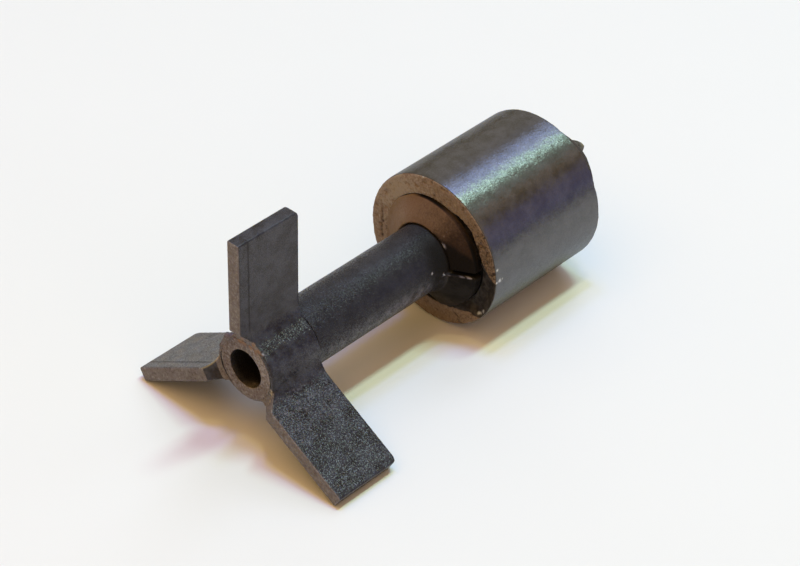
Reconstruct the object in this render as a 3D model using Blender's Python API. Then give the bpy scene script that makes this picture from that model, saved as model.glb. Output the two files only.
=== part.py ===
"""Rotor of a small submersible pump, lying on its magnet and on the tips of two blades.

A black tube carries a moulded hub with three straight paddles at its front end. Its rear end runs
through the plastic core of a ferrite magnet. A dog on the tube and a boss on the core drive each
other after a short free turn, so that the magnet can start before it has to move any water.

The shaft's axis runs along +X from the paddles to the magnet, and the floor is z = 0.
Angles round the shaft are seen from the front: 0 is level on the -Y side and 90 is straight up.
"""
import math

import bmesh
import bpy
from mathutils import Matrix, Vector

MM = 0.001

# Driving dimensions, in millimetres.
MAGNET_R = 6.75
MAGNET_LENGTH = 12.94
MAGNET_BORE_R = 4.0
MAGNET_EDGE = 0.12
COUNTERBORE_R = 4.97
COUNTERBORE_DEPTH = 1.35

# The broken place in the magnet's front rim: corners (towards -Y, up), middle and depth.
CHIP_CORNERS = (
    (1.5, 0.0),
    (3.0, -4.4),
    (5.4, -4.75),
    (6.95, -4.4),
    (6.95, -0.1),
    (5.2, 1.6),
    (4.1, 3.9),
    (2.5, 4.7),
)
CHIP_MIDDLE = (4.2, -1.2)
CHIP_DEPTH = 0.6
CHIP_FLOOR_SHARE = 0.75

BLADE_TIP_R = 12.45
BLADE_THICK = 1.2
BLADE_WIDTH = 6.26
BLADE_PROUD = 1.06
BLADE_ANGLES = (90.0, 210.0, 330.0)
TIP_ROUNDING = 0.4
HUB_R = 2.97
HUB_BORE_R = 2.70
HUB_FILLET_R = 1.7
FRONT_CHAMFER_R = 3.04
FILLET_STEPS = 6
HUB_ARC_STEPS = 5
TIP_STEPS = 4

BORE_R = 1.65
SPIGOT_R = 2.64
TUBE_R = 2.78
BEAD_R = 3.12
BEAD_WIDTH = 0.4
BEAD_SLOPE = 0.1
BEAD_TO_END = 0.2
RING_TO_MAGNET = 21.02
TUBE_BEHIND = 1.6

DOG_START = -75.0
DOG_END = -2.0
DOG_R = 4.89
DOG_HEIGHT_AT_TUBE = 1.62
DOG_HEIGHT_AT_RIM = 0.25
DOG_DEPTH = 0.42
DOG_ROOT = 0.4

CORE_BORE_R = 2.88
CORE_SLEEVE_R = 3.9
CORE_DISC_R = 4.87
CORE_FLOOR_DEPTH = 0.62
CORE_DISC_THICK = 0.6
BOSS_START = 3.0
BOSS_END = 215.0
BOSS_HEIGHT_AT_RIM = 0.27
BOSS_HEIGHT_AT_TUBE = 1.15
REAR_HEIGHT_AT_RIM = 0.45
REAR_HEIGHT_AT_TUBE = 0.9
LUG_ANGLE = 56.5
LUG_WIDTH = 1.4
LUG_INNER_R = 4.6
LUG_OUTER_R = 6.6
LUG_HEIGHT = 1.05
LUG_ROUNDING = 0.35
LUG_STEPS = 3

SEAT_GAP = 0.08
PAST = 3.0
SHARP_ANGLE = 35
STEPS = 72

# Places along the shaft, from the ring face at 0 towards the magnet.
FRONT = -BLADE_PROUD
HUB_REAR = BLADE_WIDTH - BLADE_PROUD
MAGNET_FRONT = RING_TO_MAGNET
MAGNET_REAR = MAGNET_FRONT + MAGNET_LENGTH
TUBE_REAR = MAGNET_REAR + TUBE_BEHIND
MIDDLE = (FRONT + TUBE_REAR) / 2


def material(name, colour, roughness, metallic=0.0):
    """A Principled material with one colour."""
    made = bpy.data.materials.new(name)
    made.use_nodes = True
    shader = made.node_tree.nodes["Principled BSDF"]
    shader.inputs["Base Color"].default_value = (*colour, 1.0)
    shader.inputs["Roughness"].default_value = roughness
    shader.inputs["Metallic"].default_value = metallic
    return made


def new_object(name, mesh, look, parent):
    """An object with its origin on the shaft's axis."""
    made = bpy.data.objects.new(name, mesh)
    bpy.context.scene.collection.objects.link(made)
    made.parent = parent
    if look is not None:
        mesh.materials.append(look)
        mesh.shade_smooth()
        mesh.set_sharp_from_angle(angle=math.radians(SHARP_ANGLE))
    return made


def mesh_from(bm, name):
    """Finishes a bmesh, with its faces pointing out, and turns millimetres into metres."""
    bmesh.ops.recalc_face_normals(bm, faces=bm.faces)
    bmesh.ops.scale(bm, vec=(MM, MM, MM), verts=bm.verts)
    mesh = bpy.data.meshes.new(name)
    bm.to_mesh(mesh)
    bm.free()
    return mesh


def round_point(x, r, degrees):
    """The point at x along the shaft, r from its axis, at an angle seen from the front."""
    turn = math.radians(degrees)
    return Vector((x, -r * math.cos(turn), r * math.sin(turn)))


def turned_mesh(name, outline, start=0.0, end=360.0):
    """Turns a closed outline of (x, r) points about the shaft, all round or from start to end."""
    full = end - start >= 360.0
    steps = max(3, round(STEPS * (end - start) / 360.0))
    turns = [start + (end - start) * i / steps for i in range(steps if full else steps + 1)]
    bm = bmesh.new()
    rings = [[bm.verts.new(round_point(x, r, turn)) for x, r in outline] for turn in turns]
    pairs = list(zip(rings, rings[1:]))
    if full:
        pairs.append((rings[-1], rings[0]))
    else:
        bm.faces.new(rings[0])
        bm.faces.new(rings[-1])
    count = len(outline)
    for here, there in pairs:
        for i in range(count):
            bm.faces.new((here[i], here[(i + 1) % count], there[(i + 1) % count], there[i]))
    return mesh_from(bm, name)


def cutter(name, mesh, parent):
    """A guide object that only cuts or joins others."""
    made = new_object(name, mesh, None, parent)
    made.hide_render = True
    made.display_type = "WIRE"
    return made


def boolean(target, other, operation):
    """Cuts or joins another object into the target."""
    step = target.modifiers.new(operation.lower(), "BOOLEAN")
    step.operation = operation
    step.object = other
    step.solver = "EXACT"


def arc(centre, radius, start, end, steps):
    """Points on an arc, in radians, with both its ends."""
    turns = [start + (end - start) * i / steps for i in range(steps + 1)]
    return [(centre[0] + radius * math.cos(t), centre[1] + radius * math.sin(t)) for t in turns]


def blade_side(blade_angle):
    """One blade's outline with the fillets at its root, as (r, angle) points."""
    half = BLADE_THICK / 2
    across = half + HUB_FILLET_R
    along = math.sqrt((HUB_R + HUB_FILLET_R) ** 2 - across ** 2)
    spread = math.atan2(across, along)
    lower = arc((along, -across), HUB_FILLET_R, math.pi - spread, math.pi / 2, FILLET_STEPS)
    points = lower + [(BLADE_TIP_R, -half)]
    points += [(u, -v) for u, v in reversed(points)]
    return [(math.hypot(u, v), blade_angle + math.degrees(math.atan2(v, u))) for u, v in points]


def hub_outline():
    """The outline of the hub and its blades, seen along the shaft, as (r, angle) points."""
    points = []
    for blade_angle in BLADE_ANGLES:
        side = blade_side(blade_angle)
        points += side
        hub_start = side[-1][1]
        hub_turn = side[0][1] + 360.0 / len(BLADE_ANGLES) - hub_start
        points += [(HUB_R, hub_start + hub_turn * i / HUB_ARC_STEPS) for i in range(1, HUB_ARC_STEPS)]
    return points


def bladed_mesh():
    """The hub's outline drawn out along the shaft, with the tips rounded at the rear."""
    bm = bmesh.new()
    outline = [bm.verts.new(round_point(FRONT, r, turn)) for r, turn in hub_outline()]
    face = bm.faces.new(outline)
    moved = bmesh.ops.extrude_face_region(bm, geom=[face])["geom"]
    rear = [v for v in moved if isinstance(v, bmesh.types.BMVert)]
    bmesh.ops.translate(bm, vec=(BLADE_WIDTH, 0, 0), verts=rear)
    bm.normal_update()
    tip = [v for v in rear if math.hypot(v.co.y, v.co.z) > BLADE_TIP_R - BLADE_THICK]
    tip_edges = [e for e in bm.edges if e.verts[0] in tip and e.verts[1] in tip]
    bmesh.ops.bevel(bm, geom=tip_edges, offset=TIP_ROUNDING, segments=TIP_STEPS, profile=0.5, affect="EDGES")
    return mesh_from(bm, "bladed_hub")


def cone_mesh(name, x_start, r_start, x_end, r_end):
    """A solid round cutter on the shaft's axis, with its own radius at each end."""
    bm = bmesh.new()
    depth = x_end - x_start
    bmesh.ops.create_cone(bm, cap_ends=True, segments=STEPS, radius1=r_start, radius2=r_end, depth=depth)
    place = Matrix.Translation(((x_start + x_end) / 2, 0, 0)) @ Matrix.Rotation(math.pi / 2, 4, "Y")
    bmesh.ops.transform(bm, matrix=place, verts=bm.verts)
    return mesh_from(bm, name)


def make_bladed_hub(look, parent):
    """The moulding with three straight paddles, chamfered at their front inner corners."""
    hub = new_object("bladed_hub", bladed_mesh(), look, parent)
    cone = cone_mesh("hub_front", -PAST, FRONT_CHAMFER_R + PAST, 0.0, FRONT_CHAMFER_R)
    boolean(hub, cutter("hub_front_cutter", cone, parent), "DIFFERENCE")
    bore = cone_mesh("hub_bore", -PAST, HUB_BORE_R, HUB_REAR + PAST, HUB_BORE_R)
    boolean(hub, cutter("hub_bore_cutter", bore, parent), "DIFFERENCE")
    return hub


def make_shaft_tube(look, parent):
    """The tube with its front spigot, its driving dog and the snap bead at its rear end."""
    shoulder = HUB_REAR + SEAT_GAP
    bead_rear = TUBE_REAR - BEAD_TO_END
    bead_front = bead_rear - BEAD_WIDTH
    outline = [
        (0, BORE_R),
        (0, SPIGOT_R),
        (shoulder, SPIGOT_R),
        (shoulder, TUBE_R),
        (bead_front, TUBE_R),
        (bead_front + BEAD_SLOPE, BEAD_R),
        (bead_rear - BEAD_SLOPE, BEAD_R),
        (bead_rear, TUBE_R),
        (TUBE_REAR, TUBE_R),
        (TUBE_REAR, BORE_R),
    ]
    tube = new_object("shaft_tube", turned_mesh("shaft_tube", outline), look, parent)
    inner = TUBE_R - DOG_ROOT
    dog = [
        (MAGNET_FRONT + DOG_DEPTH, inner),
        (MAGNET_FRONT + DOG_DEPTH, DOG_R),
        (MAGNET_FRONT - DOG_HEIGHT_AT_RIM, DOG_R),
        (MAGNET_FRONT - DOG_HEIGHT_AT_TUBE, TUBE_R),
        (MAGNET_FRONT - DOG_HEIGHT_AT_TUBE, inner),
    ]
    dog_mesh = turned_mesh("driving_dog", dog, DOG_START, DOG_END)
    boolean(tube, cutter("driving_dog", dog_mesh, parent), "UNION")
    return tube


def chip_mesh():
    """The broken place in the magnet's front rim, as a shallow dish."""
    middle_u, middle_v = CHIP_MIDDLE
    bm = bmesh.new()
    above = [bm.verts.new((MAGNET_FRONT - PAST, -u, v)) for u, v in CHIP_CORNERS]
    lip = [bm.verts.new((MAGNET_FRONT, -u, v)) for u, v in CHIP_CORNERS]
    below = []
    for u, v in CHIP_CORNERS:
        inner_u = middle_u + CHIP_FLOOR_SHARE * (u - middle_u)
        inner_v = middle_v + CHIP_FLOOR_SHARE * (v - middle_v)
        below.append(bm.verts.new((MAGNET_FRONT + CHIP_DEPTH, -inner_u, inner_v)))
    for here, there in ((above, lip), (lip, below)):
        for i in range(len(CHIP_CORNERS)):
            j = (i + 1) % len(CHIP_CORNERS)
            bm.faces.new((here[i], here[j], there[j], there[i]))
    bm.faces.new(above)
    bm.faces.new(below)
    return mesh_from(bm, "rim_chip")


def make_ferrite_ring(look, parent):
    """The magnet, counterbored at both ends for the core's discs, with its rim chipped."""
    front_floor = MAGNET_FRONT + COUNTERBORE_DEPTH
    rear_floor = MAGNET_REAR - COUNTERBORE_DEPTH
    outline = [
        (MAGNET_FRONT, COUNTERBORE_R),
        (MAGNET_FRONT, MAGNET_R - MAGNET_EDGE),
        (MAGNET_FRONT + MAGNET_EDGE, MAGNET_R),
        (MAGNET_REAR - MAGNET_EDGE, MAGNET_R),
        (MAGNET_REAR, MAGNET_R - MAGNET_EDGE),
        (MAGNET_REAR, COUNTERBORE_R),
        (rear_floor, COUNTERBORE_R),
        (rear_floor, MAGNET_BORE_R),
        (front_floor, MAGNET_BORE_R),
        (front_floor, COUNTERBORE_R),
    ]
    ring = new_object("ferrite_ring", turned_mesh("ferrite_ring", outline), look, parent)
    boolean(ring, cutter("rim_chip_cutter", chip_mesh(), parent), "DIFFERENCE")
    return ring


def lug_mesh():
    """The small lug on the core's rear disc, rounded at its rear corners."""
    bm = bmesh.new()
    bmesh.ops.create_cube(bm, size=1.0)
    low = MAGNET_REAR + SEAT_GAP
    high = MAGNET_REAR + LUG_HEIGHT
    size = (high - low, LUG_OUTER_R - LUG_INNER_R, LUG_WIDTH)
    bmesh.ops.scale(bm, vec=size, verts=bm.verts)
    corners = [e for e in bm.edges if all(v.co.x > 0 for v in e.verts) and e.verts[0].co.z == e.verts[1].co.z]
    bmesh.ops.bevel(bm, geom=corners, offset=LUG_ROUNDING, segments=LUG_STEPS, profile=0.5, affect="EDGES")
    bmesh.ops.translate(bm, vec=((low + high) / 2, -(LUG_OUTER_R + LUG_INNER_R) / 2, 0), verts=bm.verts)
    turn = Matrix.Rotation(-math.radians(LUG_ANGLE), 4, "X")
    bmesh.ops.transform(bm, matrix=turn, verts=bm.verts)
    return mesh_from(bm, "rear_lug")


def make_magnet_core(look, parent):
    """The plastic core: a sleeve with a disc in each counterbore, a front boss and a rear lug."""
    front_floor = MAGNET_FRONT + CORE_FLOOR_DEPTH
    front_back = front_floor + CORE_DISC_THICK
    rear_front = MAGNET_REAR - CORE_FLOOR_DEPTH - CORE_DISC_THICK
    outline = [
        (front_floor, CORE_BORE_R),
        (front_floor, CORE_DISC_R),
        (front_back, CORE_DISC_R),
        (front_back, CORE_SLEEVE_R),
        (rear_front, CORE_SLEEVE_R),
        (rear_front, CORE_DISC_R),
        (MAGNET_REAR + REAR_HEIGHT_AT_RIM, CORE_DISC_R),
        (MAGNET_REAR + REAR_HEIGHT_AT_TUBE, CORE_BORE_R),
    ]
    core = new_object("magnet_core", turned_mesh("magnet_core", outline), look, parent)
    sunk = front_floor + CORE_DISC_THICK / 2
    boss = [
        (sunk, CORE_BORE_R),
        (sunk, CORE_DISC_R),
        (MAGNET_FRONT - BOSS_HEIGHT_AT_RIM, CORE_DISC_R),
        (MAGNET_FRONT - BOSS_HEIGHT_AT_TUBE, CORE_BORE_R),
    ]
    boss_mesh = turned_mesh("front_boss", boss, BOSS_START, BOSS_END)
    boolean(core, cutter("front_boss", boss_mesh, parent), "UNION")
    boolean(core, cutter("rear_lug", lug_mesh(), parent), "UNION")
    return core


def axis_empty(name):
    """An empty on the shaft's axis, which places its pieces above the floor."""
    made = bpy.data.objects.new(name, None)
    made.location = (-MIDDLE * MM, 0, MAGNET_R * MM)
    bpy.context.scene.collection.objects.link(made)
    return made


def main():
    for old in list(bpy.data.objects):
        bpy.data.objects.remove(old, do_unlink=True)
    black = material("black_plastic", (0.045, 0.045, 0.05), 0.5)
    dark = material("black_tube_plastic", (0.04, 0.04, 0.045), 0.45)
    ferrite = material("ground_ferrite", (0.07, 0.07, 0.075), 0.38, 0.3)
    stained = material("brown_stained_plastic", (0.16, 0.09, 0.05), 0.7)
    impeller = axis_empty("impeller_axis")
    magnet = axis_empty("magnet_axis")
    make_bladed_hub(black, impeller)
    make_shaft_tube(dark, impeller)
    make_ferrite_ring(ferrite, magnet)
    make_magnet_core(stained, magnet)


main()
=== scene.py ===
import math

import bmesh
import bpy
import numpy as np
from mathutils import Matrix, Vector


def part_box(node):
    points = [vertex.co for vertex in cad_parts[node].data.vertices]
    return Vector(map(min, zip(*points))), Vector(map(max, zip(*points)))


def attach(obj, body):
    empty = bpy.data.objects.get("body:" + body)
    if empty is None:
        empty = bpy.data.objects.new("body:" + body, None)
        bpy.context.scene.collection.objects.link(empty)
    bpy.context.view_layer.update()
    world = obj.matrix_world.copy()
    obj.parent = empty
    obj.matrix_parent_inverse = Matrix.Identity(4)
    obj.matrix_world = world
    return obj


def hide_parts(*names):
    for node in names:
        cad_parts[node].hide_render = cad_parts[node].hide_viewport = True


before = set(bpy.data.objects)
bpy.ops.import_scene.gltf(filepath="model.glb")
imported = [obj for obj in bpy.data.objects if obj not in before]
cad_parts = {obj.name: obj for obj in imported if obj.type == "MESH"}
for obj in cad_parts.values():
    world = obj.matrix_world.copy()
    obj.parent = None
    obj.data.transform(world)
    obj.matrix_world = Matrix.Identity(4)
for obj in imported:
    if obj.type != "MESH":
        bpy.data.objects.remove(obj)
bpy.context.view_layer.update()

MM = 0.001

# Places and sizes read from the frame, in millimetres from the ring face along the shaft.
TUBE_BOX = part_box("shaft_tube")
HUB_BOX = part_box("bladed_hub")
MAGNET_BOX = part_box("ferrite_ring")
RING_X = TUBE_BOX[0].x
AXIS_Z = (MAGNET_BOX[0].z + MAGNET_BOX[1].z) / 2
MAGNET_R = (MAGNET_BOX[1].z - MAGNET_BOX[0].z) / 2 / MM
MAGNET_FRONT = (MAGNET_BOX[0].x - RING_X) / MM
MAGNET_REAR = (MAGNET_BOX[1].x - RING_X) / MM
TUBE_REAR = (TUBE_BOX[1].x - RING_X) / MM
BLADE_FRONT = (HUB_BOX[0].x - RING_X) / MM
BLADE_REAR = (HUB_BOX[1].x - RING_X) / MM

# Sizes that the frame's boxes do not give, in millimetres and degrees, the same as the solids'.
COUNTERBORE_R = 4.97
COUNTERBORE_DEPTH = 1.35
MAGNET_BORE_R = 4.0
BLADE_THICK = 1.2
BLADE_3_SLOPE = math.radians(30)
HUB_R = 2.97
HUB_FILLET_R = 1.7
BORE_R = 1.65
SPIGOT_R = 2.64
TUBE_R = 2.78
BEAD_R = 3.12
BEAD_FROM_END = 0.2
BEAD_WIDTH = 0.4
SEAT_GAP = 0.08
DOG_START = -75.0
DOG_END = -2.0
DOG_R = 4.89
DOG_HEIGHT_AT_TUBE = 1.62
DOG_HEIGHT_AT_RIM = 0.25
DOG_DEPTH = 0.42
CORE_BORE_R = 2.88
CORE_SLEEVE_R = 3.9
CORE_DISC_R = 4.87
CORE_FLOOR_DEPTH = 0.62
CORE_DISC_THICK = 0.6
BOSS_START = 3.0
BOSS_END = 215.0
BOSS_HEIGHT_AT_RIM = 0.27
BOSS_HEIGHT_AT_TUBE = 1.15
REAR_HEIGHT_AT_RIM = 0.45
REAR_HEIGHT_AT_TUBE = 0.9
LUG_ANGLE = 56.3
LUG_HALF_ANGLE = 7.7
LUG_OUTER_R = 6.62
CHIP_DEPTH = 0.6

# The lug's height over the magnet's rear, by the angle round the shaft.
LUG_HEIGHTS = (
    (48.5, 0.2), (50.0, 0.55), (53.0, 0.98), (56.0, 0.94), (58.5, 0.74), (61.0, 0.44), (64.0, 0.2),
)

# How far out from the shaft the broken place in the magnet's rim reaches, by the angle.
BREAK_EDGE = (
    (-80, 4.9), (-61, 5.3), (-50, 5.6), (-44, 6.0), (-38, 6.9), (0, 6.9), (3, 6.25), (7.5, 5.82),
    (15, 5.47), (25, 5.37), (34, 5.41), (43.5, 5.6), (55, 5.45), (61, 5.34), (70, 5.02), (80, 4.9),
)

# The boss's height at its outer edge, by the angle.
BOSS_RIM_HEIGHT = ((3, 0.3), (60, 0.28), (80, 0.27), (97, 0.18), (120, 0.06), (215, 0.05))

# How light the brown is painted, from 0 to 1, by the angle round the shaft.
RIM_TONE = (
    (-165, 0.55), (-90, 0.55), (-45, 0.4), (15, 0.25), (45, 0.4), (60, 0.55), (90, 0.6),
    (105, 0.7), (135, 1.0), (165, 0.75),
)
BOSS_TONE = (
    (12, -0.1), (30, 0.0), (45, 0.085), (60, 0.22), (75, 0.34), (90, 0.36), (105, 0.41),
    (120, 0.6), (135, 0.77), (150, 0.74), (180, 0.71),
)
RING_TONE = ((-180, 0.45), (-30, 0.5), (0, 0.75), (60, 0.75), (90, 0.5))

# The clean plastic of each piece, at its darkest and lightest, and its worn colour: wear on the core's
# lug, wear with a painted sheen on the left blade's top, and a painted sheen for the table's reflection on
# the tube's lower side.
BLADE_BLACKS = ((0.005, 0.005, 0.007), (0.032, 0.035, 0.047))
BLADE_WEAR_AND_SHEEN = (0.16, 0.11, 0.055)
TUBE_BLACKS = ((0.017, 0.017, 0.021), (0.027, 0.027, 0.033))
TUBE_SHEEN = (0.14, 0.14, 0.165)
CORE_BLACKS = ((0.008, 0.007, 0.006), (0.036, 0.031, 0.029))
CORE_WORN = (0.3, 0.31, 0.26)

# Dark, middle and light deposit on the core, on the magnet's ends, on the blades and on the ring face.
BROWNS = ((0.03, 0.018, 0.013), (0.165, 0.105, 0.066), (0.25, 0.195, 0.145))
RIM_BROWNS = ((0.035, 0.022, 0.015), (0.21, 0.142, 0.094), (0.32, 0.262, 0.21))
GREY_BROWNS = ((0.075, 0.06, 0.058), (0.15, 0.133, 0.134), (0.25, 0.235, 0.24))
RING_BROWNS = ((0.079, 0.060, 0.054), (0.166, 0.139, 0.136), (0.29, 0.27, 0.28))

# Rust; moulding flash and painted highlights; painted shade and dark lines; chips and painted glints, on
# the plastic.
RUST = (0.30, 0.15, 0.06)
FLASH_AND_HIGHLIGHT = (0.62, 0.5, 0.28)
SHADE = (0.005, 0.005, 0.005)
CHIP_AND_GLINT = (0.5, 0.48, 0.58)

# The magnet's side and its broken place at their darkest and lightest, its bare end, and chips on both.
GROUND_BLACKS = ((0.004, 0.004, 0.005), (0.028, 0.027, 0.032))
BROKEN_BLACKS = ((0.014, 0.011, 0.01), (0.045, 0.04, 0.038))
BARE_END = (0.05, 0.042, 0.036)
CHIPPED_SIDE = (0.6, 0.6, 0.6)
CHIPPED_END = (0.5, 0.5, 0.5)

# How finely the skins are meshed, in millimetres and in columns round the shaft. Away from its ends the
# magnet's outline keeps one point in KEPT_ON_SIDE.
SKIN_SPACING = 0.09
MAGNET_COLUMNS = 480
TUBE_COLUMNS = 240
KEPT_ON_SIDE = 4

# How much the outlines' corners are cut, in millimetres.
EDGE = 0.1
FINE_EDGE = 0.05
RING_EDGE = 0.04
MAGNET_EDGE_R = 0.16


def lattice_value(ix, iy, iz, seed):
    """A repeatable number from 0 to 1 for each point of a lattice."""
    n = (ix * 374761393 + iy * 668265263 + iz * 1440662683 + seed * 97531) & 0xFFFFFFFF
    n = ((n ^ (n >> 13)) * 1274126177) & 0xFFFFFFFF
    return ((n ^ (n >> 16)) & 0xFFFF) / 65535.0


def bumps(points, size, seed=0):
    """Smooth noise from -1 to 1, with features of the given size in millimetres."""
    scaled = points / size
    cell = np.floor(scaled).astype(np.int64)
    part = scaled - cell
    part = part * part * (3 - 2 * part)
    total = np.zeros(len(points))
    for corner in np.ndindex(2, 2, 2):
        weight = np.prod(np.where(np.array(corner), part, 1 - part), axis=1)
        total += weight * lattice_value(*(cell + corner).T, seed)
    return total * 2 - 1


def smooth_step(low, high, value):
    """0 at low, 1 at high, a smooth rise between them and no change beyond them."""
    t = np.clip((value - low) / (high - low), 0, 1)
    return t * t * (3 - 2 * t)


def window(turn, start, end, soft=0.5):
    """1 between two angles and 0 outside them, with a slope at each end."""
    middle = (start + end) / 2
    half = (end - start) / 2
    away = np.abs((turn - middle + 180.0) % 360.0 - 180.0)
    return np.clip((half + soft - away) / (2 * soft), 0, 1)


def by_angle(turn, table):
    """A value for each angle, from (angle, value) pairs in order round the shaft."""
    angles, values = np.array(table).T
    return np.interp(turn, angles, values, period=360.0)


def polar(points):
    """Radius and angle, in degrees from level on the -Y side, of points in shaft millimetres."""
    return np.hypot(points[:, 1], points[:, 2]), np.degrees(np.arctan2(points[:, 2], -points[:, 1]))


def round_place(x, r, turn):
    """The point x along the shaft and r from its axis at an angle, in shaft millimetres."""
    angle = math.radians(turn)
    return (x, -r * math.cos(angle), r * math.sin(angle))


def spots(points, places):
    """1 at the middle of each (point, radius) spot and 0 beyond it."""
    total = np.zeros(len(points))
    for place, radius in places:
        away = np.linalg.norm(points - np.array(place), axis=1)
        total = np.maximum(total, smooth_step(radius, radius * 0.4, away))
    return total


def to_world(points):
    """Shaft millimetres to the frame's metres."""
    return points * MM + np.array([RING_X, 0, AXIS_Z])


def to_shaft(points):
    """The frame's metres to shaft millimetres."""
    return (points - np.array([RING_X, 0, AXIS_Z])) / MM


def get_points(mesh):
    """A mesh's vertices in shaft millimetres."""
    flat = np.zeros(len(mesh.vertices) * 3)
    mesh.vertices.foreach_get("co", flat)
    return to_shaft(flat.reshape(-1, 3))


def set_points(mesh, points):
    """Moves a mesh's vertices, given in shaft millimetres."""
    mesh.vertices.foreach_set("co", to_world(points).astype(np.float32).ravel())
    mesh.update()


def paint(mesh, name, values):
    """Stores one number for each vertex, for the materials to read."""
    layer = mesh.attributes.new(name, "FLOAT", "POINT")
    layer.data.foreach_set("value", values.astype(np.float32))


def resample(corners, spacing):
    """Points along an open outline of (x, r) corners, every corner kept."""
    points = []
    for start, end in zip(corners, corners[1:]):
        points += spread(start, end, max(1, math.ceil(math.dist(start, end) / spacing)))
    return points + [corners[-1]]


def rounded(corners, radius, steps=4):
    """A closed outline of (x, r) corners with each corner rounded."""
    points = []
    count = len(corners)
    for i in range(count):
        here = Vector(corners[i])
        before = Vector(corners[i - 1]) - here
        after = Vector(corners[(i + 1) % count]) - here
        cut = min(radius, before.length / 2.5, after.length / 2.5)
        start = here + before.normalized() * cut
        end = here + after.normalized() * cut
        for k in range(steps + 1):
            t = k / steps
            point = start * (1 - t) ** 2 + here * 2 * t * (1 - t) + end * t ** 2
            points.append((point.x, point.y))
    return points


def blend_outlines(plain, raised, share):
    """The outline between two outlines with as many points."""
    return [(a[0] + (b[0] - a[0]) * share, a[1] + (b[1] - a[1]) * share) for a, b in zip(plain, raised)]


def spread(start, end, count):
    """Points from start up to end, without end."""
    return [(start[0] + (end[0] - start[0]) * i / count, start[1] + (end[1] - start[1]) * i / count)
            for i in range(count)]


def path(corners, counts):
    """Points along several straight runs, with a count for each run."""
    return [p for a, b, n in zip(corners, corners[1:], counts) for p in spread(a, b, n)]


def columns(count, walls=(), half_width=0.5):
    """Angles round the shaft, in degrees, with extra ones close beside each wall."""
    turns = [360.0 * i / count for i in range(count)]
    for wall in walls:
        wall = wall % 360.0
        turns = [t for t in turns if abs(t - wall) > 2 * half_width]
        turns += [wall + half_width * k for k in (-1.0, -0.5, 0.0, 0.5, 1.0)]
    return np.array(sorted(t % 360.0 for t in turns))


def turned(name, outline_at, turns):
    """A closed skin round the shaft. outline_at gives the closed (x, r) outline at an angle."""
    rings = []
    for turn in turns:
        x, r = np.array(outline_at(turn)).T
        angle = math.radians(turn)
        rings.append(np.stack([x, -r * math.cos(angle), r * math.sin(angle)], axis=1))
    points = np.concatenate(rings)
    per_ring = len(rings[0])
    i = np.arange(len(turns))[:, None]
    k = np.arange(per_ring)[None, :]
    next_i = (i + 1) % len(turns)
    next_k = (k + 1) % per_ring
    quads = [i * per_ring + k, next_i * per_ring + k, next_i * per_ring + next_k, i * per_ring + next_k]
    faces = np.stack([np.broadcast_to(q, (len(turns), per_ring)) for q in quads], axis=-1)
    mesh = bpy.data.meshes.new(name)
    mesh.from_pydata(to_world(points).tolist(), [], faces.reshape(-1, 4).tolist())
    return mesh


def add_piece(name, mesh, look, body, node):
    """Puts a finished mesh in the scene in place of its solid."""
    bm = bmesh.new()
    bm.from_mesh(mesh)
    bmesh.ops.recalc_face_normals(bm, faces=bm.faces)
    bm.to_mesh(mesh)
    bm.free()
    mesh.shade_smooth()
    mesh.materials.append(look)
    made = bpy.data.objects.new(name, mesh)
    bpy.context.scene.collection.objects.link(made)
    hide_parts(node)
    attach(made, body)
    return made


# Marks on the magnet: spans of angle, each its start, its end and how softly they end, in degrees round
# the shaft, and sizes in millimetres.
STEEP_BREAK = (12.0, 80.0, 4.0)
STEEP_SLOPE = 2.2
FLAT_SLOPE = 0.55
REAR_BURR = (38.0, 62.0, 9.0)
BURR_HEIGHT = 0.42
WORN_EDGE_DEPTH = 0.35
FACE_DEPTH = 0.14
CREASE_ACROSS = -5.6
CREASE_HALF_LENGTH = 1.9

# Chips on the magnet: how far behind its front they are, how far from the axis, their angle and radius.
MAGNET_CHIPS = (
    (0.0, 6.72, 101.0, 0.12),
    (0.3, 6.38, -38.0, 0.22),
    (0.3, 6.48, -35.0, 0.25),
    (0.3, 6.53, -32.0, 0.22),
    (0.33, MAGNET_R, 11.0, 0.14),
    (0.2, MAGNET_R, 1.1, 0.12),
    (0.55, MAGNET_R, 1.8, 0.2),
    (0.85, MAGNET_R, 1.9, 0.13),
    (0.7, MAGNET_R, 0.7, 0.1),
    (2.0, MAGNET_R, 19.4, 0.1),
)


def magnet_outline():
    """The magnet's closed outline, with its points close together only near both ends."""
    front_floor = MAGNET_FRONT + COUNTERBORE_DEPTH
    rear_floor = MAGNET_REAR - COUNTERBORE_DEPTH
    corners = [
        (MAGNET_FRONT, COUNTERBORE_R),
        (MAGNET_FRONT, MAGNET_R),
        (MAGNET_REAR, MAGNET_R),
        (MAGNET_REAR, COUNTERBORE_R),
        (rear_floor, COUNTERBORE_R),
        (rear_floor, MAGNET_BORE_R),
        (front_floor, MAGNET_BORE_R),
        (front_floor, COUNTERBORE_R),
    ]
    outline = rounded(corners, MAGNET_EDGE_R)
    fine = resample(outline + outline[:1], SKIN_SPACING)[:-1]
    near_end = [x < MAGNET_FRONT + 1.2 or x > MAGNET_REAR - 0.3 for x, r in fine]
    return [point for i, point in enumerate(fine) if near_end[i] or i % KEPT_ON_SIDE == 0]


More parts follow.
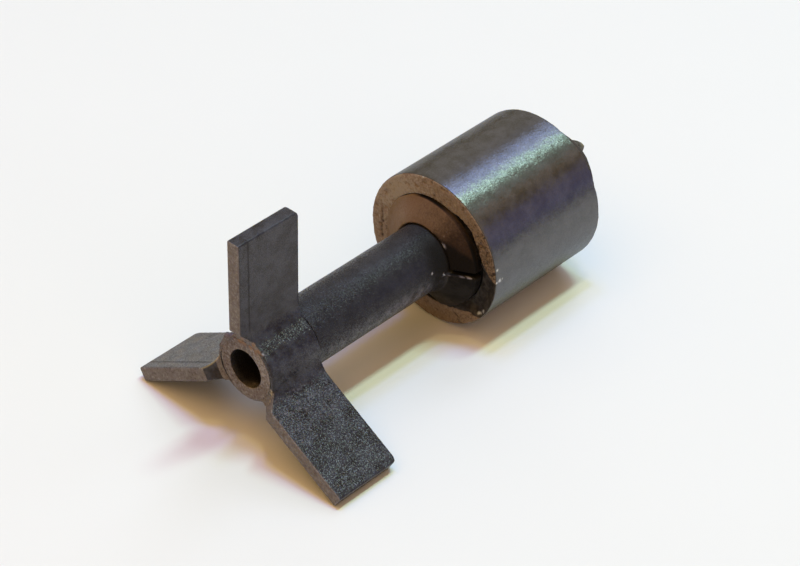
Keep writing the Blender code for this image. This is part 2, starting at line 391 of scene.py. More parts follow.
def make_magnet(side_look, face_look):
    """The ferrite ring, with a granular rim, a worn edge and the broken place in its front."""
    outline = magnet_outline()
    mesh = turned("ferrite_skin", lambda turn: outline, columns(MAGNET_COLUMNS))
    points = get_points(mesh)
    r, turn = polar(points)
    x, v = points[:, 0], points[:, 2]
    u = -points[:, 1]
    from_front = x - MAGNET_FRONT
    at_front = smooth_step(WORN_EDGE_DEPTH, 0.0, from_front)
    at_rear = 0.3 * smooth_step(WORN_EDGE_DEPTH, 0.0, MAGNET_REAR - x)
    at_edge = np.maximum(at_front, at_rear) * smooth_step(6.2, 6.7, r)
    grain = 0.6 * bumps(points, 0.28, 1) + 0.4 * bumps(points, 0.14, 2)
    wear_and_sheen = np.clip(bumps(points, 0.55, 3) - 0.25, 0, 1)
    pits = np.clip(bumps(points, 0.34, 6) - 0.3, 0, 1)
    shrink = 1 - at_edge * (0.008 + 0.006 * grain + 0.018 * wear_and_sheen) / 1.6
    points[:, 1:] *= shrink[:, None]

    past_counterbore = smooth_step(COUNTERBORE_R - 0.05, COUNTERBORE_R + 0.1, r)
    on_face = smooth_step(FACE_DEPTH, 0.0, from_front) * past_counterbore
    behind = smooth_step(FACE_DEPTH, 0.0, MAGNET_REAR - x) * past_counterbore
    crease = smooth_step(0.22, 0.02, np.abs(u - CREASE_ACROSS))
    crease *= smooth_step(CREASE_HALF_LENGTH, 1.3, np.abs(v))
    points[:, 0] += on_face * (0.02 + 0.03 * grain + 0.12 * pits + 0.07 * crease)
    points[:, 0] -= behind * (0.02 * grain + 0.08 * pits)

    rough_break = 0.05 * bumps(points, 0.7, 4) + 0.02 * bumps(points, 0.25, 5)
    slope = np.where(window(turn, *STEEP_BREAK) > 0.5, STEEP_SLOPE, FLAT_SLOPE)
    broken = np.minimum((by_angle(turn, BREAK_EDGE) - r) * slope, CHIP_DEPTH) + rough_break
    chipped = np.where(r > COUNTERBORE_R - 0.05, MAGNET_FRONT + broken, -np.inf)
    fresh = smooth_step(-0.03, 0.03, chipped - x)
    points[:, 0] = np.maximum(x, chipped)
    burr = smooth_step(0.5, 0.1, MAGNET_REAR - x) * smooth_step(6.2, 6.6, r)
    points[:, 0] += burr * (BURR_HEIGHT * window(turn, *REAR_BURR) + 0.06 * bumps(points, 0.9, 8))
    set_points(mesh, points)

    paint(mesh, "stain_and_bore_light", np.clip(on_face * 1.4, 0, 1) * (1 - fresh) + 0.8 * behind)
    # The tone is painted darker in the pits and in the crease, as shade there.
    paint(mesh, "tone", by_angle(turn, RIM_TONE) + 0.15 * grain - 0.5 * pits - 0.4 * crease)
    paint(mesh, "shade_and_dark_marks", fresh)
    chips = [(round_place(MAGNET_FRONT + back, out, angle), size)
             for back, out, angle, size in MAGNET_CHIPS]
    paint(mesh, "chips_and_glints", spots(points, chips) * smooth_step(-0.7, 0.1, bumps(points, 0.2, 7)))
    made = add_piece("ferrite_skin", mesh, side_look, "magnet", "ferrite_ring")
    mesh.materials.append(face_look)
    for face in mesh.polygons:
        face_x, face_y, face_z = to_shaft(np.array(face.center))
        on_end = face_x < MAGNET_FRONT + FACE_DEPTH or face_x > MAGNET_REAR - 0.05
        if on_end or math.hypot(face_y, face_z) < MAGNET_R - 0.3 or fresh[face.vertices[0]] > 0.5:
            face.material_index = 1
    return made


# The number of steps on each run of the core's outline: its front, the wall beside the counterbore's
# rim, the sleeve and the rear.
CORE_FRONT_STEPS = (2, 22, 2)
CORE_WALL_STEPS = 10
CORE_SLEEVE_STEPS = (3, 4, 3, 4)
CORE_END_STEPS = (4, 2, 18, 2, 8)

# Marks on the core: spans of angle, the line below which the boss's low end gets painted shade, and spots
# with their radius. The boss's outer wall in the groove and the floor beside the dog get painted shade,
# and the boss's edge at the tube a painted highlight.
WIDER_BOSS = (108.0, 225.0, 8.0)
WIDEST_BOSS = (136.0, 225.0, 8.0)
SHADED_WALL = (0.0, 112.0, 6.0)
LIGHTER_WALL = (38.0, 72.0, 8.0)
SHADED_LOW_END = (-70.0, 70.0, 5.0)
SHADE_BESIDE_DOG = (-70.0, BOSS_START + 0.3, 0.3)
LIT_TUBE_EDGE = (40.0, 55.0, 3.0)
SHADOW_LINE_SLOPE = 0.404
SHADOW_LINE_HEIGHT = 3.3
CORE_SPECKS = (
    ((MAGNET_FRONT - 0.85, -2.13, 3.31), 0.17),
    ((MAGNET_FRONT - 0.95, -2.05, 2.85), 0.12),
    ((MAGNET_FRONT - 0.8, -3.2, 1.2), 0.1),
)


def core_outline_at(turn):
    """The core's closed outline at an angle: front or boss, sleeve, and rear disc or lug."""
    floor_x = MAGNET_FRONT + CORE_FLOOR_DEPTH
    back_x = floor_x + CORE_DISC_THICK
    rear_x = MAGNET_REAR - CORE_FLOOR_DEPTH - CORE_DISC_THICK
    seat_x = MAGNET_REAR + SEAT_GAP
    rim_x = MAGNET_REAR + REAR_HEIGHT_AT_RIM
    tube_x = MAGNET_REAR + REAR_HEIGHT_AT_TUBE
    lug_x = MAGNET_REAR + by_angle(turn, LUG_HEIGHTS)
    top_rim = MAGNET_FRONT - BOSS_HEIGHT_AT_RIM
    top_tube = MAGNET_FRONT - BOSS_HEIGHT_AT_TUBE
    low = [(floor_x + FINE_EDGE, CORE_BORE_R), (floor_x, CORE_BORE_R + FINE_EDGE),
           (floor_x, CORE_DISC_R - EDGE), (floor_x + FINE_EDGE, CORE_DISC_R)]
    high = [(top_tube + 0.12, CORE_BORE_R), (top_tube, CORE_BORE_R + EDGE),
            (top_rim, CORE_DISC_R - EDGE), (top_rim + EDGE, CORE_DISC_R)]
    sleeve = [(back_x, CORE_DISC_R), (back_x, CORE_SLEEVE_R), (rear_x, CORE_SLEEVE_R),
              (rear_x, CORE_DISC_R), (seat_x, CORE_DISC_R)]
    plain_rim = [(seat_x, CORE_DISC_R), (rim_x - EDGE, CORE_DISC_R), (rim_x, CORE_DISC_R - EDGE)]
    lug_rim = [(seat_x, LUG_OUTER_R), (lug_x - EDGE, LUG_OUTER_R), (lug_x, LUG_OUTER_R - EDGE)]
    bore = [(tube_x, CORE_BORE_R + EDGE), (tube_x - EDGE, CORE_BORE_R), (floor_x + FINE_EDGE, CORE_BORE_R)]
    boss_share = window(turn, BOSS_START, BOSS_END)
    lug_share = max(0.0, 1 - ((turn - LUG_ANGLE) / LUG_HALF_ANGLE) ** 6) ** 0.5
    front = blend_outlines(path(low, CORE_FRONT_STEPS), path(high, CORE_FRONT_STEPS), boss_share)
    wall_x = low[-1][0] + (high[-1][0] - low[-1][0]) * boss_share
    wall = spread((wall_x, CORE_DISC_R), sleeve[0], CORE_WALL_STEPS)
    plain_end = path(plain_rim + bore, CORE_END_STEPS)
    lug_end = path(lug_rim + bore, CORE_END_STEPS)
    return front + wall + path(sleeve, CORE_SLEEVE_STEPS) + blend_outlines(plain_end, lug_end, lug_share)


def make_core(look):
    """The magnet's plastic core, with its front boss and the lug on its rear disc."""
    mesh = turned("core_skin", core_outline_at, columns(MAGNET_COLUMNS, (BOSS_START, BOSS_END)))
    points = get_points(mesh)
    r, turn = polar(points)
    x, v = points[:, 0], points[:, 2]
    u = -points[:, 1]
    above = smooth_step(0.35, 0.0, x - MAGNET_FRONT)
    on_top = above * smooth_step(CORE_DISC_R + 0.01, CORE_DISC_R - 0.07, r)
    points[:, 0] += on_top * (0.02 * bumps(points, 0.9, 11) + 0.01 * bumps(points, 0.25, 12))
    lower = by_angle(turn, BOSS_RIM_HEIGHT) - BOSS_HEIGHT_AT_RIM
    points[:, 0] -= above * lower * smooth_step(3.2, CORE_DISC_R, r) * window(turn, BOSS_START, BOSS_END)
    wider = (0.05 * window(turn, *WIDER_BOSS) + 0.11 * window(turn, *WIDEST_BOSS)) * above
    at_rim = smooth_step(CORE_DISC_R - 0.25, CORE_DISC_R - 0.05, r)
    points[:, 1:] *= (1 + wider * at_rim / CORE_DISC_R)[:, None]
    set_points(mesh, points)

    behind = smooth_step(MAGNET_REAR, MAGNET_REAR + 0.3, x)
    on_disc = behind * smooth_step(5.5, 5.0, r)
    paint(mesh, "stain_and_bore_light", np.maximum(above, on_disc * (0.75 + 0.3 * bumps(points, 1.1, 16))))
    paint(mesh, "tone", by_angle(turn, BOSS_TONE) * (1 - 0.3 * behind) + 0.05 * bumps(points, 0.5, 13))
    # Painted shade on the boss's outer wall in the groove, lighter over part of it.
    shaded_outer_wall = above * smooth_step(CORE_DISC_R - 0.1, CORE_DISC_R - 0.03, r) * window(turn, *SHADED_WALL)
    shaded_outer_wall *= 1 - 0.45 * window(turn, *LIGHTER_WALL)
    # Painted shade: the boss's low end is darkened below a slanting line.
    past_shadow_line = v + SHADOW_LINE_SLOPE * u - SHADOW_LINE_HEIGHT + 0.15 * bumps(points, 0.5, 15)
    shaded_low_end = smooth_step(0.3, -0.2, past_shadow_line) * window(turn, *SHADED_LOW_END)
    shaded_low_end *= smooth_step(-0.5, 0.2, MAGNET_FRONT + 0.2 - x)
    # Painted shade on the floor in the gap beside the dog.
    at_floor = x < MAGNET_FRONT + CORE_FLOOR_DEPTH + 0.5
    shade_beside_dog = window(turn, *SHADE_BESIDE_DOG) * at_floor
    paint(mesh, "shade_and_dark_marks", np.maximum.reduce([shaded_outer_wall, 0.87 * shaded_low_end, shade_beside_dog]))
    # A painted highlight along the boss's inner edge at the tube, with the specks.
    lit_edge = 0.5 * smooth_step(3.2, 3.05, r) * window(turn, *LIT_TUBE_EDGE) * above
    chips_and_glints = np.maximum(spots(points, CORE_SPECKS), lit_edge)
    paint(mesh, "chips_and_glints", chips_and_glints * smooth_step(-0.2, 0.5, bumps(points, 0.16, 14)))
    lug_tip = smooth_step(MAGNET_REAR + 0.6, MAGNET_REAR + 0.9, x) * smooth_step(5.8, 6.3, r)
    on_lug = smooth_step(MAGNET_REAR, MAGNET_REAR + 0.2, x) * smooth_step(5.0, 5.6, r)
    paint(mesh, "wear_and_sheen", 0.5 * on_lug)
    paint(mesh, "flash_and_highlight", 0.25 * lug_tip)
    paint(mesh, "grit", np.ones(len(points)))
    return add_piece("core_skin", mesh, look, "magnet", "magnet_core")


# The number of steps on each run of the tube's outline: its front, the dog's place and the rear.
TUBE_FRONT_STEPS = (2, 12, 2, 8, 2, 2, 110)
DOG_STEPS = (7, 30, 3, 6, 2, 10)
TUBE_END_STEPS = (30, 2, 3, 2, 3, 2, 8, 2, 60)

# Marks on the tube: spans of angle, stretches along it over which a mark grows, and spots with their
# radius. Painted shade fills the bore, the dog and the tube near the magnet, a lit crescent is painted in
# the bore, a glint on the dog's top edge and a sheen on the tube's lower side.
LIT_BORE = (-95.0, -45.0, 12.0)
SHADED_DOG_TOP = (DOG_END - 0.4, DOG_END + 2.0, 0.1)
DOG_SHADE = (-45.0, 5.0, 10.0)
SHADE_NEAR_MAGNET = (-80.0, 72.0, 20.0)
RUSTY_RING = (62.0, 112.0, 8.0)
DOG_EDGE_GLINT = (DOG_END - 0.6, DOG_END - 0.4, 0.1)
SHEEN_LOW_ON_TUBE = (-25.0, 3.0, 9.0)
SHADED_LENGTH = (17.0, 18.8)
CALMER_LENGTH = (8.0, 14.0)
# Pale spots on the tube; the one at the dog's foot is a painted glint.
TUBE_PALE_SPOTS = (
    (round_place(18.03, TUBE_R, 14.0), 0.14),
    (round_place(19.34, TUBE_R + 0.06, -0.5), 0.14),
)


def tube_outline_at(turn):
    """The tube's closed outline at an angle: ring face, spigot, tube or dog, snap bead, end and bore."""
    shoulder = BLADE_REAR + SEAT_GAP
    bead_rear = TUBE_REAR - BEAD_FROM_END
    bead_front = bead_rear - BEAD_WIDTH
    dog_front = MAGNET_FRONT - DOG_HEIGHT_AT_TUBE
    dog_rim = MAGNET_FRONT - DOG_HEIGHT_AT_RIM
    dog_rear = MAGNET_FRONT + DOG_DEPTH
    before_dog = dog_front - 0.5
    past_dog = dog_rear + 0.01
    front = [(RING_EDGE, BORE_R), (0, BORE_R + RING_EDGE), (0, SPIGOT_R - 0.03), (RING_EDGE, SPIGOT_R),
             (shoulder, SPIGOT_R), (shoulder, TUBE_R - RING_EDGE), (shoulder + RING_EDGE, TUBE_R),
             (before_dog, TUBE_R)]
    plain_x = (before_dog, dog_front, dog_rim, dog_rim + EDGE, dog_rear - FINE_EDGE, dog_rear, past_dog)
    plain = [(x, TUBE_R) for x in plain_x]
    dog = [(before_dog, TUBE_R), (dog_front + FINE_EDGE, TUBE_R + 0.16), (dog_rim - 0.03, DOG_R - 0.08),
           (dog_rim + EDGE, DOG_R + FINE_EDGE), (dog_rear - FINE_EDGE, DOG_R + FINE_EDGE),
           (dog_rear, DOG_R), (dog_rear, TUBE_R)]
    end = [(past_dog, TUBE_R), (bead_front, TUBE_R), (bead_front + EDGE, BEAD_R),
           (bead_rear - EDGE, BEAD_R), (bead_rear, TUBE_R), (TUBE_REAR - FINE_EDGE, TUBE_R),
           (TUBE_REAR, TUBE_R - FINE_EDGE), (TUBE_REAR, BORE_R + FINE_EDGE),
           (TUBE_REAR - FINE_EDGE, BORE_R), (RING_EDGE, BORE_R)]
    share = window(turn, DOG_START, DOG_END)
    middle = blend_outlines(path(plain, DOG_STEPS), path(dog, DOG_STEPS), share)
    return path(front, TUBE_FRONT_STEPS) + middle + path(end, TUBE_END_STEPS)


def make_tube(look, dog_look):
    """The tube with its stained ring face, its driving dog and the snap bead."""
    mesh = turned("tube_skin", tube_outline_at, columns(TUBE_COLUMNS, (DOG_START, DOG_END)))
    points = get_points(mesh)
    r, turn = polar(points)
    x = points[:, 0]
    on_ring = smooth_step(0.08, 0.0, x) * smooth_step(BORE_R - 0.02, BORE_R + 0.03, r)
    points[:, 0] += on_ring * (0.02 * bumps(points, 0.35, 21) + 0.012 * bumps(points, 0.13, 22))
    outer = smooth_step(2.7, 2.76, r)
    uneven = 0.002 * bumps(points, 1.6, 23) + 0.0015 * bumps(points, 0.3, 24)
    points[:, 1:] *= (1 + outer * uneven)[:, None]
    set_points(mesh, points)

    # Painted shade inside the bore, and a painted lit crescent on its lower wall near the front.
    bore = smooth_step(BORE_R + 0.1, BORE_R, r)
    lit_crescent = bore * smooth_step(1.2, 0.4, x) * window(turn, *LIT_BORE)
    bore_light = lit_crescent * smooth_step(0.08, 0.2, x) * (0.6 + 0.3 * bumps(points, 0.2, 28))
    paint(mesh, "stain_and_bore_light", np.maximum(on_ring, bore_light))
    paint(mesh, "tone", by_angle(turn, RING_TONE) + 0.12 * bumps(points, 0.2, 25))
    shaded_bore = bore * (smooth_step(0.1, 0.5, x) * (1 - lit_crescent))
    near_magnet = smooth_step(MAGNET_FRONT - 1.9, MAGNET_FRONT - 1.5, x)
    on_dog = smooth_step(TUBE_R + 0.1, TUBE_R + 0.4, r) * near_magnet
    # Painted shade on the dog, darkest on its top face in the narrow gap.
    shaded_dog_top = on_dog * window(turn, *SHADED_DOG_TOP)
    dog_shade = 0.3 + 0.35 * window(turn, *DOG_SHADE)
    # Painted shade on the tube near the magnet, beside the dog.
    near_end = 0.85 * smooth_step(*SHADED_LENGTH, x) * window(turn, *SHADE_NEAR_MAGNET) * (x < MAGNET_FRONT)
    shade_beside_dog = near_end * (1 - on_dog)
    paint(mesh, "shade_and_dark_marks", np.maximum.reduce([shaded_bore, dog_shade * on_dog, shaded_dog_top, shade_beside_dog]))
    rust = window(turn, *RUSTY_RING) * smooth_step(2.1, 2.5, r) * on_ring
    paint(mesh, "rust", 0.5 * rust * smooth_step(-0.3, 0.3, bumps(points, 0.3, 26)))
    # A painted glint along the dog's top edge, with pale spots beside it.
    dog_edge_glint = window(turn, *DOG_EDGE_GLINT) * smooth_step(0.1, -0.1, x - MAGNET_FRONT)
    dog_edge_glint *= np.maximum(window(r, 3.95, 4.75, 0.15), 0.6 * window(r, 2.9, 3.2, 0.1))
    chips_and_glints = np.maximum(spots(points, TUBE_PALE_SPOTS), 0.5 * dog_edge_glint)
    paint(mesh, "chips_and_glints", chips_and_glints * smooth_step(-0.7, 0.0, bumps(points, 0.25, 27)))
    # A painted sheen on the tube's lower side, for the table's reflection there.
    paint(mesh, "wear_and_sheen", window(turn, *SHEEN_LOW_ON_TUBE) * outer * (1 - on_dog))
    paint(mesh, "flash_and_highlight", 0.1 * lit_crescent)
    paint(mesh, "grit", 1 - 0.55 * smooth_step(*CALMER_LENGTH, x))
    made = add_piece("tube_skin", mesh, look, "impeller", "shaft_tube")
    mesh.materials.append(dog_look)
    for face in mesh.polygons:
        if on_dog[face.vertices[0]] > 0.5 and dog_edge_glint[face.vertices[0]] < 0.1:
            face.material_index = 1
    return made


# The fillet above the left blade: its centre along the blade and across it, from the shaft's axis.
BLADE_3_ALONG = np.array([math.cos(BLADE_3_SLOPE), -math.sin(BLADE_3_SLOPE)])
BLADE_3_ACROSS = np.array([math.sin(BLADE_3_SLOPE), math.cos(BLADE_3_SLOPE)])
FILLET_ACROSS = BLADE_THICK / 2 + HUB_FILLET_R
FILLET_ALONG = math.sqrt((HUB_R + HUB_FILLET_R) ** 2 - FILLET_ACROSS ** 2)

# The hub's lip: the radius where its chamfer would meet the ring face, and the knob beside the upper
# blade.
CHAMFER_R = 3.04
KNOB_PLACE = round_place(-0.14, 2.95, 125.0)
KNOB_R = 0.3

# Marks on the hub and the blades: spans of angle, and spots with their radius. The left blade's root
# edge, the flash spots and the glints near the lower blade's root are painted highlights.
UNEVEN_REAR = (30.0, 75.0, 15.0)
LIP_FLASH = (110.0, 240.0, 6.0)
LOW_LIP = (-130.0, -50.0, 8.0)
LIP_GROOVE = (176.0, 240.0, 10.0)
CHAMFER_LOW = (-50.0, -10.0, 4.0)
CHAMFER_TOP = (70.0, 110.0, 4.0)
CLEAN_LIP = (-22.0, 58.0, 5.0)
RUSTY_LIP = (50.0, 112.0, 6.0)
LIT_LEFT_ROOT = (184.0, 203.0, 3.0)
GLINTS = (-30.0, -14.0, 3.0)
WEAR_AND_SHEEN_LEFT_BLADE = (190.0, 209.9, 1.0)
LINED_UPPER_BLADE = (60.0, 90.0, 2.0)
LINED_LEFT_BLADE = (180.0, 210.0, 2.0)
CALM_UPPER_BLADE = (60.0, 100.0, 10.0)
CALM_LEFT_BLADE = (190.0, 250.0, 10.0)
GRITTY_NEAR_BLADE = (-50.0, -18.0, 8.0)
LIT_FLASH_SPOTS = (
    ((-0.1, -2.78, -0.6), 0.2),
    ((-0.12, -2.8, -0.85), 0.2),
    ((-0.15, -2.76, -1.15), 0.17),
    ((-0.2, -2.68, -1.5), 0.2),
    ((-0.25, -2.6, -1.75), 0.16),
)
HUB_SPECKS = (
    ((0.04, -1.51, 2.56), 0.16),
    ((0.09, -1.62, 2.49), 0.17),
    ((0.22, -1.77, 2.39), 0.2),
    ((0.43, -1.83, 2.34), 0.2),
)


def remeshed_hub():
    """The hub's own solid with the knob added, remeshed finely so that its edges are soft."""
    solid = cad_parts["bladed_hub"].data.copy()
    bm = bmesh.new()
    bm.from_mesh(solid)
    knob = Matrix.Translation(Vector(to_world(np.array(KNOB_PLACE))))
    bmesh.ops.create_icosphere(bm, subdivisions=2, radius=KNOB_R * MM, matrix=knob)
    bm.to_mesh(solid)
    bm.free()
    source = bpy.data.objects.new("blades_source", solid)
    bpy.context.scene.collection.objects.link(source)
    remesh = source.modifiers.new("fine", "REMESH")
    remesh.mode = "VOXEL"
    remesh.voxel_size = SKIN_SPACING * MM
    soften = source.modifiers.new("soften", "SMOOTH")
    soften.factor = 0.5
    soften.iterations = 4
    evaluated = source.evaluated_get(bpy.context.evaluated_depsgraph_get())
    mesh = bpy.data.meshes.new_from_object(evaluated)
    mesh.name = "blades_skin"
    mesh.materials.clear()
    bpy.data.objects.remove(source)
    return mesh


def shape_hub(points, r, turn):
    """Moves the points of the hub's rear edge and lip, and gives each point's share in the lip."""
    x = points[:, 0]
    at_rear = smooth_step(4.5, 4.9, x) * smooth_step(3.4, 3.2, r)
    points[:, 0] -= at_rear * (0.06 * window(turn, *UNEVEN_REAR) + 0.05 * bumps(points, 0.5, 31))
    lip = smooth_step(0.14, 0.03, x) * smooth_step(3.3, 3.1, r)
    flash_and_highlight = lip * window(turn, *LIP_FLASH)
    points[:, 0] -= flash_and_highlight * 0.12 * bumps(points, 0.4, 32)
    low_edge = smooth_step(0.5, 0.1, x) * smooth_step(2.75, 2.95, r) * window(turn, *LOW_LIP)
    points[:, 1:] *= (1 - 0.045 * low_edge * smooth_step(3.4, 3.1, r))[:, None]
    groove = window(turn, *LIP_GROOVE)
    closed = smooth_step(0.5, 0.3, x) * smooth_step(2.86, 2.78, r) * (1 - groove)
    points[:, 1:] *= (1 - closed * np.clip(r - 2.6, 0, 0.3) / np.maximum(r, 1.0))[:, None]
    opened = smooth_step(0.5, 0.2, x) * smooth_step(3.0, 2.8, r) * groove
    points[:, 1:] *= (1 + 0.15 * opened / np.maximum(r, 1.0))[:, None]
    return lip


def make_blades(look):
    """The bladed hub, with browned front edges, a worn lip and fine lines beside the blades' edges."""
    mesh = remeshed_hub()
    points = get_points(mesh)
    r, turn = polar(points)
    lip = shape_hub(points, r, turn)
    set_points(mesh, points)
    x = points[:, 0]
    front = smooth_step(BLADE_FRONT + 0.12, BLADE_FRONT + 0.03, x)
    chamfer = smooth_step(0.16, 0.08, np.abs(r - CHAMFER_R + x)) * smooth_step(0.1, -0.1, x)
    chamfer *= np.maximum(window(turn, *CHAMFER_LOW), window(turn, *CHAMFER_TOP))
    lip_brown = lip * (1 - window(turn, *CLEAN_LIP))
    paint(mesh, "stain_and_bore_light", np.maximum.reduce([front, chamfer, lip_brown]))
    paint(mesh, "tone", 0.5 + 0.15 * bumps(points, 0.25, 33) + 0.1 * bumps(points, 1.5, 34))
    rust = lip * window(turn, *RUSTY_LIP) * smooth_step(-0.3, 0.4, bumps(points, 0.3, 38))
    paint(mesh, "rust", 0.5 * rust)

    along = points[:, 1:] @ BLADE_3_ALONG - FILLET_ALONG
    across = points[:, 1:] @ BLADE_3_ACROSS - FILLET_ACROSS
    off_fillet = np.abs(np.hypot(along, across) - HUB_FILLET_R)
    # A painted highlight along the left blade's root edge, and painted highlights on small flash near the
    # lower blade.
    lit_root_edge = smooth_step(0.16, 0.06, np.abs(r + x - CHAMFER_R)) * smooth_step(0.16, 0.06, off_fillet)
    lit_root_edge *= window(turn, *LIT_LEFT_ROOT)
    flash_and_highlight = spots(points, LIT_FLASH_SPOTS) * smooth_step(-0.8, 0.2, bumps(points, 0.2, 36))
    paint(mesh, "flash_and_highlight", np.maximum(flash_and_highlight, 0.4 * lit_root_edge))

    specks = spots(points, HUB_SPECKS) * 0.6 * smooth_step(-0.1, 0.5, bumps(points, 0.15, 37))
    # Painted glints on the lower blade near its root.
    glints = window(turn, *GLINTS) * smooth_step(8.0, 4.5, r) * smooth_step(3.2, 3.6, r)
    glints *= smooth_step(0.3, 0.7, bumps(points, 0.14, 39))
    paint(mesh, "chips_and_glints", np.maximum(specks, 0.12 * glints))
    # Wear with a painted sheen on the left blade's top.
    paint(mesh, "wear_and_sheen", 0.4 * window(turn, *WEAR_AND_SHEEN_LEFT_BLADE) * smooth_step(3.6, 4.5, r))
    lined = np.maximum(window(turn, *LINED_UPPER_BLADE), window(turn, *LINED_LEFT_BLADE))
    paint(mesh, "lined", smooth_step(3.6, 4.2, r) * lined)
    calm = np.maximum(0.45 * window(turn, *CALM_UPPER_BLADE), 0.6 * window(turn, *CALM_LEFT_BLADE))
    gritty = 0.6 * window(turn, *GRITTY_NEAR_BLADE) * smooth_step(9.0, 5.0, r)
    paint(mesh, "grit", 1 - calm * smooth_step(3.0, 4.0, r) + gritty)
    return add_piece("blades_skin", mesh, look, "impeller", "bladed_hub")


class Look:
    """A Principled material and short calls for the nodes that feed it."""

    def __init__(self, name):
        self.material = bpy.data.materials.new(name)
        self.material.use_nodes = True
        self.tree = self.material.node_tree
        self.shader = self.tree.nodes["Principled BSDF"]
        self.where = self.node("ShaderNodeTexCoord").outputs["Object"]

    def node(self, kind, **settings):
        """A new node, with settings."""
        made = self.tree.nodes.new(kind)
        for key, value in settings.items():
            setattr(made, key, value)
        return made

    def feed(self, socket, value):
        """Gives an input a number, or links it to another node's output."""
        if isinstance(value, bpy.types.NodeSocket):
            self.tree.links.new(value, socket)
        else:
            socket.default_value = value

    def attribute(self, name):
        """The numbers that paint() stored under a name."""
        return self.node("ShaderNodeAttribute", attribute_name=name).outputs["Fac"]

    def noise(self, size, detail=3.0, roughness=0.55):
        """Noise with features of about the given size in millimetres."""
        made = self.node("ShaderNodeTexNoise")
        self.feed(made.inputs["Vector"], self.where)
        made.inputs["Scale"].default_value = 1 / (size * MM)
        made.inputs["Detail"].default_value = detail
        made.inputs["Roughness"].default_value = roughness
        return made.outputs["Fac"]

    def ramp(self, value, low, high, start=0.0, end=1.0):
        """Maps low to start and high to end, and stops there."""
        made = self.node("ShaderNodeMapRange", interpolation_type="SMOOTHSTEP")
        self.feed(made.inputs["Value"], value)
        for key, number in (("From Min", low), ("From Max", high), ("To Min", start), ("To Max", end)):
            made.inputs[key].default_value = number
        return made.outputs["Result"]

    def math(self, operation, a, b):
        """One number worked out from two."""
        made = self.node("ShaderNodeMath", operation=operation)
        self.feed(made.inputs[0], a)
        self.feed(made.inputs[1], b)
        return made.outputs[0]

    def mix(self, share, a, b):
        """One colour where share is 0 and the other where it is 1."""
        made = self.node("ShaderNodeMix", data_type="RGBA")
        self.feed(made.inputs["Factor"], share)
        for key, colour in (("A", a), ("B", b)):
            socket = [s for s in made.inputs if s.name == key and s.type == "RGBA"][0]
            self.feed(socket, (*colour, 1.0) if isinstance(colour, tuple) else colour)
        return [s for s in made.outputs if s.type == "RGBA"][0]

    def bump(self, height, distance, normal=None):
        """Relief of the given depth in millimetres."""
        made = self.node("ShaderNodeBump")
        self.feed(made.inputs["Height"], height)
        made.inputs["Distance"].default_value = distance * MM
        if normal is not None:
            self.feed(made.inputs["Normal"], normal)
        return made.outputs["Normal"]

    def vectors(self, operation, a, b=None):
        """One vector worked out from one or two."""
        made = self.node("ShaderNodeVectorMath", operation=operation)
        self.feed(made.inputs[0], a)
        if b is not None:
            self.feed(made.inputs[1], b)
        return made.outputs["Vector"]

    def facets(self, size, tilt, share=(1.0, 1.0, 1.0)):
        """Normals that lean at random, for a grain that sparkles. tilt is how far along each axis."""
        grain = self.node("ShaderNodeTexNoise")
        self.feed(grain.inputs["Vector"], self.where)
        grain.inputs["Scale"].default_value = 1 / (size * MM)
        grain.inputs["Detail"].default_value = 1.0
        leaning = self.vectors("SUBTRACT", grain.outputs["Color"], (0.5, 0.5, 0.5))
        leaning = self.vectors("MULTIPLY", self.vectors("MULTIPLY", leaning, tilt), share)
        upright = self.node("ShaderNodeNewGeometry").outputs["Normal"]
        return self.vectors("NORMALIZE", self.vectors("ADD", upright, leaning))

    def line_at(self, x, half_width):
        """1 on a thin line round the shaft at x, in shaft millimetres."""
        apart = self.node("ShaderNodeSeparateXYZ")
        self.feed(apart.inputs[0], self.where)
        away = self.math("ABSOLUTE", self.math("SUBTRACT", apart.outputs["X"], RING_X + x * MM), 0.0)
        return self.ramp(away, 0.4 * half_width * MM, half_width * MM, 1.0, 0.0)

    def finish(self, colour, roughness, normal=None):
        """Feeds the shader and gives the finished material."""
        self.feed(self.shader.inputs["Base Color"], colour)
        self.feed(self.shader.inputs["Roughness"], roughness)
        if normal is not None:
            self.feed(self.shader.inputs["Normal"], normal)
        return self.material


def brown_deposit(look, palette, mottle):
    """The deposit's colour: dark, middle and light browns by the painted tone, with some mottling."""
    tone = look.attribute("tone")
    patches = look.math("MULTIPLY", look.math("SUBTRACT", look.noise(0.2, 4, 0.7), 0.5), mottle)
    tone = look.math("ADD", tone, patches)
    colour = look.mix(look.ramp(tone, 0.0, 0.5), palette[0], palette[1])
    return look.mix(look.ramp(tone, 0.5, 1.0), colour, palette[2])


def spread_edge(look, amount, size, reach):
    """A painted amount with an uneven edge."""
    uneven = look.math("MULTIPLY", look.math("SUBTRACT", look.noise(size, 3), 0.5), reach)
    return look.ramp(look.math("ADD", amount, uneven), 0.3, 0.7)


# The fine dark line beside the blades' front edges: its place along the shaft, half its width, its depth.
LINE_X = -0.05
LINE_HALF_WIDTH = 0.12
LINE_DARKNESS = 0.55

# The roughness of the plastic where it is clean and where it is dull, of the magnet's side and ends, and
# of the table.
CLEAN_ROUGHNESS = 0.34
DULL_ROUGHNESS = 0.85
GROUND_ROUGHNESS = 0.38
END_ROUGHNESS = 0.7
TABLE_ROUGHNESS = 0.6

# The colour of the plastic's shine, and how the ground side's grain leans: at random along each axis, and
# all of it towards the front.
SHINE_TINT = (0.96, 0.82, 0.77, 1.0)
GROUND_TILT = (0.6, 0.15, 0.15)
GROUND_LEAN = (-0.065, 0.0, 0.0)


